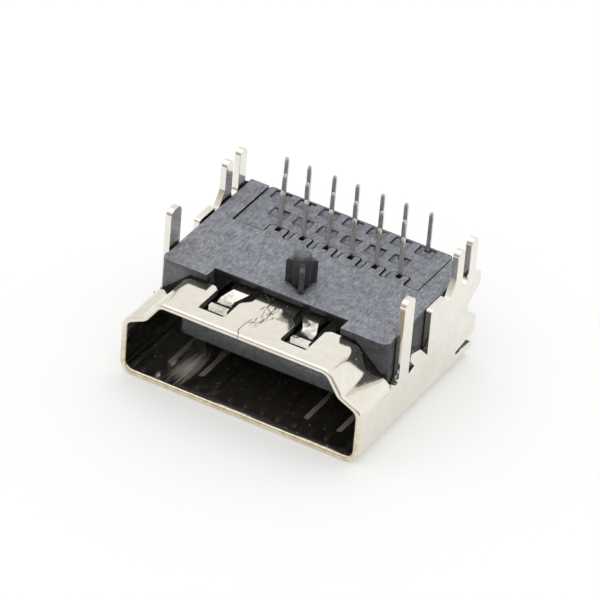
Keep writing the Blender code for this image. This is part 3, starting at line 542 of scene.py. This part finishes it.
def painted_facing_shade(tree, patch):
    """Painted shade: full on faces that look up and low sideways and down, with painted light on the left
    lobe's front.
    """
    _, _, upward = split(tree, face_normal(tree))
    share = product(tree, math_node(tree, "ADD", upward, 1.0), 0.5)
    level = ramp(tree, share, [(0.2, SHADE_FACING_DOWN), (0.55, SHADE_FACING_SIDEWAYS), (0.95, WHITE)])
    # Painted light on the left lobe's front
    lobe_light = product(tree, patch_mask(tree, patch, LEFT_LOBE_LIGHT), LOBE_LIGHT_STRENGTH)
    return mix_colour(tree, lobe_light, level, PAINTED_LOBE_LIGHT)


def post_painted_shade(tree, patch, colour):
    """Moulding with painted shade on the locating post above the plate, and less of it on its head."""
    _, _, z = split_place(tree)
    raised = ramp(tree, product(tree, z, PER_CENTIMETRE),
                  [(0.577, 0.0), (0.583, 0.65), (0.725, 0.65), (0.788, 0.3)])
    return mix_colour(tree, product(tree, patch_mask(tree, patch, POST), raised), colour, POST_SHADE)


def edge_tint(tree, edge_wear_and_shade):
    """A tint where a rounded edge's normal turns away from the surface's own, and 1 elsewhere."""
    rounded = add(tree, "ShaderNodeBevel", samples=6, Radius=EDGE_RADIUS)
    turned = vector_math(tree, "DOT_PRODUCT", rounded.outputs["Normal"], face_normal(tree))
    return ramp(tree, turned["Value"], [(0.9, edge_wear_and_shade), (0.995, 1.0)])


def crevice_shade(tree):
    """Dark in the gaps round the tails and between the mouldings."""
    crevice = add(tree, "ShaderNodeAmbientOcclusion", samples=8, Distance=CREVICE_REACH)
    return ramp(tree, crevice.outputs["AO"], [(0.3, 0.1), (0.8, 1.0)])


def plastic_material(name, moulding, patch, dark, pale, scale, edge_wear_and_shade):
    """Glass-filled moulding: mottled blue-grey skin, pale scratches and specks, edges pale with wear on
    the housing and dark with painted shade on the insert, and painted shade by facing, on the post and in
    the crevices.
    """
    material, tree, shader = new_material(name, metallic=0.0, ior=1.45)
    finish = place_group(tree, moulding, Scale=scale).outputs
    colour = moulded_colour(tree, finish, dark, pale)
    # Painted shade by the way a face looks
    colour = tinted(tree, colour, painted_facing_shade(tree, patch))
    colour = post_painted_shade(tree, patch, colour)
    # Edges: pale wear on the housing, painted shade on the insert
    colour = tinted(tree, colour, edge_tint(tree, edge_wear_and_shade))
    colour = tinted(tree, colour, crevice_shade(tree))
    tree.links.new(colour, shader.inputs["Base Color"])
    rough = ramp(tree, finish["Mottle"], [(0.3, 0.62), (0.7, 0.45)])
    tree.links.new(rough, shader.inputs["Roughness"])
    soft_edge_bump(tree, shader, finish["Mottle"], strength=0.5, distance=0.02 * MM, radius=0.05 * MM)
    return material


def contact_material(plate):
    """Tin on the tails, gold on the blades in the tongue, with painted shade further in."""
    material, tree, shader = new_material("contact_plate", metallic=1.0)
    finish = place_group(tree, plate, Scale=CONTACT_SCALE).outputs
    clouds = ramp(tree, finish["Cloud"], [(0.35, 0.0), (0.65, 1.0)])
    _, y, _ = split_place(tree)
    inward = math_node(tree, "ADD", product(tree, y, 1 / BLADE_REACH), 1.0)
    # Gold with painted shade further into the tongue
    gold = ramp(tree, inward, [(0.14, GOLD), (0.3, GOLD_SHADED)])
    blade = math_node(tree, "LESS_THAN", y, BLADE_END)
    colour = mix_colour(tree, blade, mix_colour(tree, clouds, TIN, TIN_DULL), gold)
    tree.links.new(colour, shader.inputs["Base Color"])
    rough = ramp(tree, finish["Stain"], [(0.3, 0.22), (0.7, 0.38)])
    tree.links.new(rough, shader.inputs["Roughness"])
    soft_edge_bump(tree, shader, finish["Cloud"], strength=0.15, distance=0.006 * MM, radius=0.03 * MM)
    return material


# Meshes

def tube_faces(rings, sides):
    """Quads between neighbouring rings of a closed tube, as an array."""
    ring, side = np.meshgrid(np.arange(rings - 1), np.arange(sides), indexing="ij")
    here = ring * sides + side
    beside = ring * sides + (side + 1) % sides
    return np.stack([here, beside, beside + sides, here + sides], -1).reshape(-1, 4)


def fan_faces(middle, first, sides):
    """Triangles from a middle point to the ring that starts at a point, as an array."""
    side = np.arange(sides)
    return np.stack([np.full(sides, middle), first + side, first + (side + 1) % sides], 1)


def rounded_box(angle, power):
    """Points (a, b) at angles round the curve |a|^power + |b|^power = 1."""
    across, through = np.cos(angle), np.sin(angle)
    return [np.sign(part) * np.abs(part) ** (2 / power) for part in (across, through)]


def dressed_object(name, mesh, material, smooth_angle):
    """An object of a mesh in one material, smooth where its faces meet below an angle in degrees."""
    mesh.shade_smooth()
    mesh.set_sharp_from_angle(angle=math.radians(smooth_angle))
    mesh.materials.clear()
    mesh.materials.append(material)
    made = bpy.data.objects.new(name, mesh)
    bpy.context.scene.collection.objects.link(made)
    return made


def closed_object(name, points, faces, material, smooth_angle):
    """A closed piece from an array of points and a list of faces, all turned outwards."""
    mesh = bpy.data.meshes.new(name)
    mesh.from_pydata(points.tolist(), [], faces)
    form = bmesh.new()
    form.from_mesh(mesh)
    bmesh.ops.recalc_face_normals(form, faces=form.faces)
    form.to_mesh(mesh)
    form.free()
    return dressed_object(name, mesh, material, smooth_angle)


# Pieces

def skin(node, material, smooth_angle):
    """The CAD node's own surface, welded and shaded smooth over its bends."""
    mesh = NODES[node].data.copy()
    form = bmesh.new()
    form.from_mesh(mesh)
    bmesh.ops.remove_doubles(form, verts=form.verts, dist=WELD_DISTANCE)
    bmesh.ops.dissolve_limit(form, angle_limit=FLAT_ANGLE, verts=form.verts, edges=form.edges)
    form.to_mesh(mesh)
    form.free()
    piece = dressed_object(node + "_skin", mesh, material, smooth_angle)
    shading = piece.modifiers.new("shading", "WEIGHTED_NORMAL")
    shading.keep_sharp = True
    shading.weight = 100
    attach(piece, "root")
    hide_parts(node)


def contact_path(number):
    """Middle line of a contact: along the tongue, a quarter circle, up, aside and up.

    Rows are (x, y, z, tangent y, tangent z, half width, half thickness).
    """
    low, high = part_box("contact_%02d" % number)
    # Rows count from the front, and the first contact stands in the back one
    row = (2, 1, 0)[(number - 1) % 3]
    blade_x = (number - (CONTACTS + 1) / 2) * CONTACT_PITCH
    tail_x = blade_x + (1 - row) * TAIL_SHIFT
    # The sine of a growing angle makes neighbours lean unlike each other
    lean = TAIL_LEAN * math.sin(LEAN_TURN * number)
    half = BLADE_THICKNESS / 2
    run_z = low.z + half
    tail_y = high.y - half
    nose = np.array([[blade_x, low.y, run_z, 1, 0], [blade_x, low.y + NOSE_LENGTH, run_z, 1, 0]])
    swing = np.linspace(0, math.pi / 2, CURVE_RINGS)
    bend = np.stack([np.full_like(swing, blade_x), tail_y - BEND_R + BEND_R * np.sin(swing),
                     run_z + BEND_R - BEND_R * np.cos(swing), np.cos(swing), np.sin(swing)], 1)
    rise = np.linspace(0, 1, CURVE_RINGS)
    ease = rise * rise * (3 - 2 * rise)
    jog = np.stack([blade_x + (tail_x - blade_x) * ease, np.full_like(rise, tail_y),
                    JOG_START + (JOG_END - JOG_START) * rise, np.zeros_like(rise), np.ones_like(rise)], 1)
    tip = TIP_PLACES
    top = np.stack([np.full_like(tip, tail_x + lean), np.full_like(tip, tail_y),
                    high.z - TIP_LENGTH * (1 - tip), np.zeros_like(tip), np.ones_like(tip)], 1)
    path = np.vstack([nose, bend, jog, top])
    widths = np.full(len(path), BLADE_HALF)
    depths = np.full(len(path), half)
    widths[0], depths[0] = BLADE_HALF * NOSE_WIDTH, half * NOSE_DEPTH
    widths[-len(tip):] = BLADE_HALF * TIP_WIDTHS
    depths[-len(tip):] = half * TIP_DEPTHS
    return np.column_stack([path, widths, depths])


def contact_piece(number, material):
    """A rounded rectangle |a|^4 + |b|^4 = 1 carried along the contact's middle line."""
    path = contact_path(number)
    x, y, z, along_y, along_z, half_width, half_depth = (column[:, None] for column in path.T)
    turn = np.linspace(0, 2 * math.pi, STRIP_SIDES, endpoint=False) + math.pi / STRIP_SIDES
    across, through = rounded_box(turn, power=4)
    wide = half_width * across
    thick = half_depth * through
    points = np.stack([x + wide, y - along_z * thick, z + along_y * thick], -1).reshape(-1, 3)
    first_ring, last_ring = 0, len(points) - STRIP_SIDES
    nose, tip = len(points), len(points) + 1
    faces = [*tube_faces(len(path), STRIP_SIDES).tolist(),
             *fan_faces(nose, first_ring, STRIP_SIDES).tolist(),
             *fan_faces(tip, last_ring, STRIP_SIDES).tolist()]
    points = np.vstack([points, path[0, :3], path[-1, :3]])
    piece = closed_object("strip_%02d" % number, points, faces, material, STRIP_SMOOTH)
    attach(piece, "root")
    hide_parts("contact_%02d" % number)


def corner_foot(material):
    """Foot in the housing's slanting rear corner: an upright column on |a|^8 + |b|^8 = 1."""
    low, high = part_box("housing")
    inner_x = high.x - FOOT_WIDTH
    front_y = high.y - FOOT_DEPTH
    across, through = rounded_box(np.linspace(0, math.pi / 2, FOOT_STEPS), power=8)
    x = inner_x + (high.x - FOOT_SIDE_GAP - inner_x) * across
    y = front_y + (high.y - FOOT_REAR_GAP - front_y) * through
    outline = np.stack([np.append(x, inner_x), np.append(y, front_y)], 1)
    count = len(outline)
    levels = [low.z + FOOT_LOW_GAP, low.z + FOOT_HEIGHT]
    points = np.concatenate([np.column_stack([outline, np.full(count, z)]) for z in levels])
    lid = list(range(count, 2 * count))
    base = list(range(count - 1, -1, -1))
    faces = [*tube_faces(2, count).tolist(), lid, base]
    piece = closed_object("corner_foot", points, faces, material, FOOT_SMOOTH)
    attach(piece, "root")


# Studio

def floor_material():
    """White that glows a little to the camera, to gloss and through glass, and grey to the light."""
    material, tree, shader = new_material("white_floor", metallic=0.0)
    shader.inputs["Roughness"].default_value = FLOOR_ROUGHNESS
    glow = add(tree, "ShaderNodeEmission", Strength=1.0, Color=(1, 1, 1, 1))
    path = tree.nodes.new("ShaderNodeLightPath").outputs
    seen = either(tree, path["Is Camera Ray"], path["Is Glossy Ray"])
    seen = either(tree, seen, path["Is Transmission Ray"])
    x, y, _ = split_place(tree)
    beside, beyond = (math_node(tree, "GREATER_THAN", math_node(tree, "ABSOLUTE", side), SLOTTED_REACH)
                      for side in (x, y))
    seen = product(tree, seen, either(tree, beside, beyond))
    # Grey under the socket, where it shows through the slots: painted shade
    tree.links.new(mix_colour(tree, seen, FLOOR_GREY, FLOOR_WHITE), shader.inputs["Base Color"])
    blend = tree.nodes.new("ShaderNodeMixShader")
    tree.links.new(product(tree, seen, FLOOR_GLOW), blend.inputs["Fac"])
    tree.links.new(shader.outputs[0], blend.inputs[1])
    tree.links.new(glow.outputs[0], blend.inputs[2])
    tree.links.new(blend.outputs[0], tree.nodes["Material Output"].inputs["Surface"])
    return material


def build_floor():
    """Square floor just under the socket."""
    z = CAD_BOX[0].z - FLOOR_GAP
    corners = [(-1, -1), (1, -1), (1, 1), (-1, 1)]
    mesh = bpy.data.meshes.new("floor")
    mesh.from_pydata([(FLOOR_REACH * x, FLOOR_REACH * y, z) for x, y in corners], [], [(0, 1, 2, 3)])
    dressed_object("floor", mesh, floor_material(), 0)


def build_world():
    """White room, darker low down on the camera's side, plain white to the camera."""
    world = bpy.data.worlds.new("room")
    bpy.context.scene.world = world
    world.use_nodes = True
    tree = world.node_tree
    background = tree.nodes["Background"]
    x, y, z = split(tree, tree.nodes.new("ShaderNodeTexCoord").outputs["Generated"])
    toward = math_node(tree, "SUBTRACT", product(tree, x, math.sin(CAMERA_AZIMUTH)),
                       product(tree, y, math.cos(CAMERA_AZIMUTH)))
    front = product(tree, ramp(tree, toward, [(0.05, 0.0), (0.5, 1.0)]),
                    ramp(tree, z, [(0.3, 1.0), (0.75, 0.0)]))
    room = ramp(tree, z, [(0.0, ROOM_LOW), (0.55, ROOM_MIDDLE), (0.9, ROOM_HIGH)])
    room = mix_colour(tree, ramp(tree, x, [(0.2, 0.0), (0.7, 1.0)]), room, ROOM_RIGHT)
    room = mix_colour(tree, front, room, ROOM_FRONT)
    path = tree.nodes.new("ShaderNodeLightPath")
    room = mix_colour(tree, path.outputs["Is Camera Ray"], room, WHITE)
    tree.links.new(room, background.inputs["Color"])
    background.inputs["Strength"].default_value = 1.0


def build_lamp():
    """A soft square lamp that faces the socket."""
    light = bpy.data.lights.new("key", "AREA")
    light.shape = "SQUARE"
    light.size = KEY_SIZE
    light.energy = KEY_POWER
    lamp = bpy.data.objects.new("key", light)
    lamp.location = KEY_PLACE
    lamp.rotation_mode = "QUATERNION"
    lamp.rotation_quaternion = (Vector(KEY_PLACE) - CAMERA_TARGET).to_track_quat("Z", "Y")
    bpy.context.scene.collection.objects.link(lamp)


def build_camera():
    """Camera at the photograph's angle: azimuth, elevation and roll about the line of sight."""
    back = Vector((math.sin(CAMERA_AZIMUTH) * math.cos(CAMERA_ELEVATION),
                   -math.cos(CAMERA_AZIMUTH) * math.cos(CAMERA_ELEVATION),
                   math.sin(CAMERA_ELEVATION)))
    right = Vector((math.cos(CAMERA_AZIMUTH), math.sin(CAMERA_AZIMUTH), 0))
    up = back.cross(right)
    rolled_right = right * math.cos(CAMERA_ROLL) + up * math.sin(CAMERA_ROLL)
    rolled_up = up * math.cos(CAMERA_ROLL) - right * math.sin(CAMERA_ROLL)
    turn = Matrix((rolled_right, rolled_up, back)).transposed()
    lens = bpy.data.cameras.new("photo_view")
    lens.lens = CAMERA_LENS
    lens.sensor_width = CAMERA_SENSOR
    lens.shift_x, lens.shift_y = CAMERA_SHIFT
    lens.clip_start, lens.clip_end = CAMERA_CLIP
    camera = bpy.data.objects.new("photo_view", lens)
    camera.matrix_world = Matrix.Translation(CAMERA_TARGET + back * CAMERA_DISTANCE) @ turn.to_4x4()
    bpy.context.scene.collection.objects.link(camera)
    bpy.context.scene.camera = camera


moulded_skin = moulding_group()
plated_sheet = plate_group()
ragged_patch = patch_group()
nickel = nickel_material(plated_sheet, ragged_patch)
housing_plastic = plastic_material("housing_plastic", moulded_skin, ragged_patch, **HOUSING)
insert_plastic = plastic_material("insert_plastic", moulded_skin, ragged_patch, **INSERT)
contact_plate = contact_material(plated_sheet)

skin("shell", nickel, SHELL_SMOOTH)
skin("housing", housing_plastic, MOULDING_SMOOTH)
skin("tail_spacer", insert_plastic, MOULDING_SMOOTH)
for contact_number in range(1, CONTACTS + 1):
    contact_piece(contact_number, contact_plate)
corner_foot(housing_plastic)

build_floor()
build_world()
build_lamp()
build_camera()
bpy.context.scene.view_settings.view_transform = "Standard"
